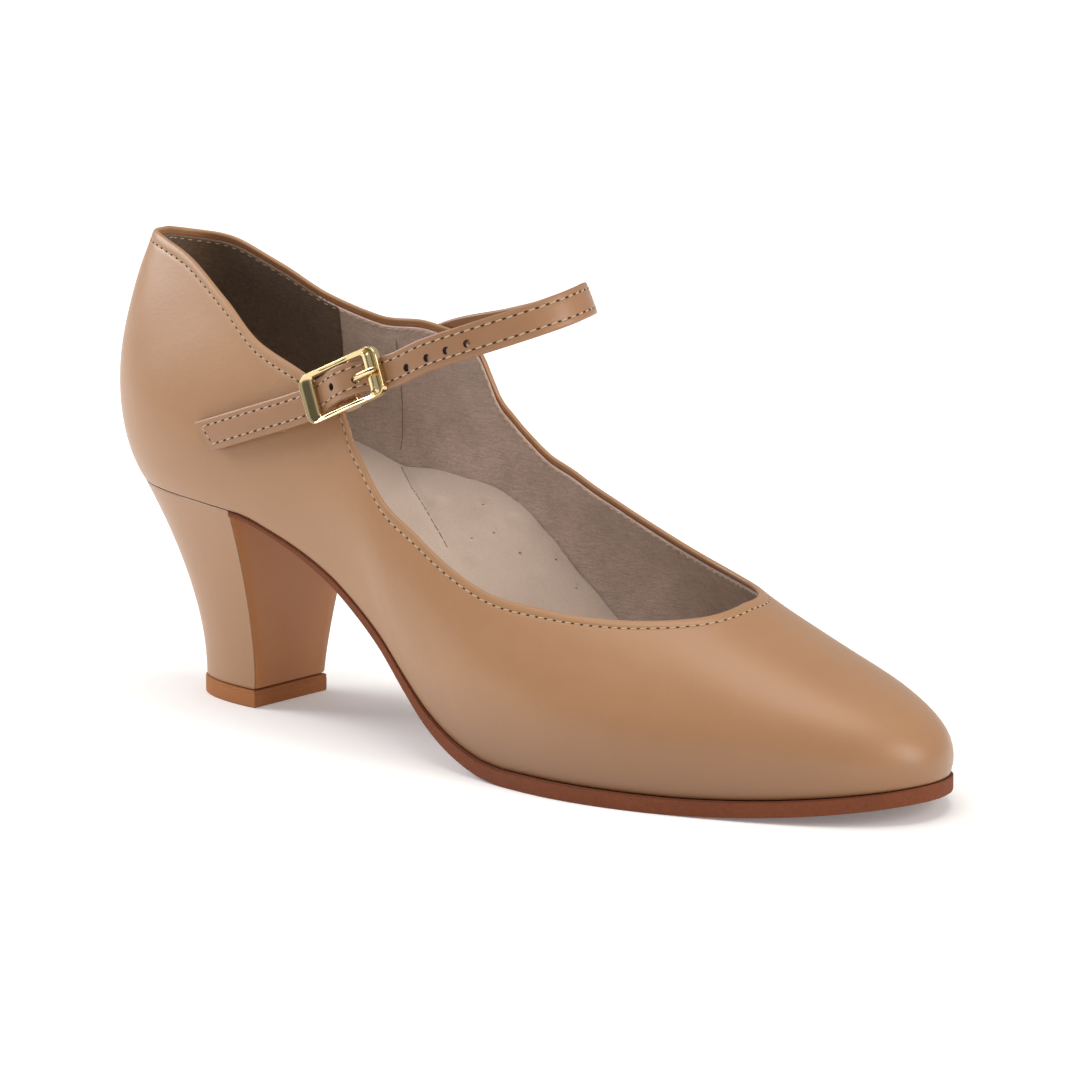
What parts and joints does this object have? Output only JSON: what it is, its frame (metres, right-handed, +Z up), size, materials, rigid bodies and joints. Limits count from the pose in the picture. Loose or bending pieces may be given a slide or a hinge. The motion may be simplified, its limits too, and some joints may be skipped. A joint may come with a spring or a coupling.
{
  "type": "character shoe",
  "caption": "Tan leather character shoe, right foot: low-cut upper with a bar strap and brass buckle, covered heel, suede sole.",
  "frame": {"origin": "middle of the shoe's bounding box in plan, on the floor it stands on", "axes": "+X from the heel to the toe, +Y towards the inner side of the foot, +Z up"},
  "size_m": [0.2414, 0.0788, 0.1136],
  "materials": {
    "upper": "smooth tan leather with a soft satin shine, lined",
    "insole": "matt taupe sock over a thin board",
    "outsole": "matt brown suede",
    "heel": "smooth tan leather cover",
    "top_lift": "matt brown suede",
    "strap": "smooth tan leather, stitched",
    "buckle": "polished pale brass",
    "chape": "smooth tan leather"
  },
  "bodies": {
    "root": {"upper": "upper", "insole": "insole", "outsole": "outsole", "heel": "heel", "top_lift": "top_lift", "strap": "strap", "buckle_frame": "buckle", "buckle_prong": "buckle", "buckle_chape": "chape"}
  },
  "joints": []
}
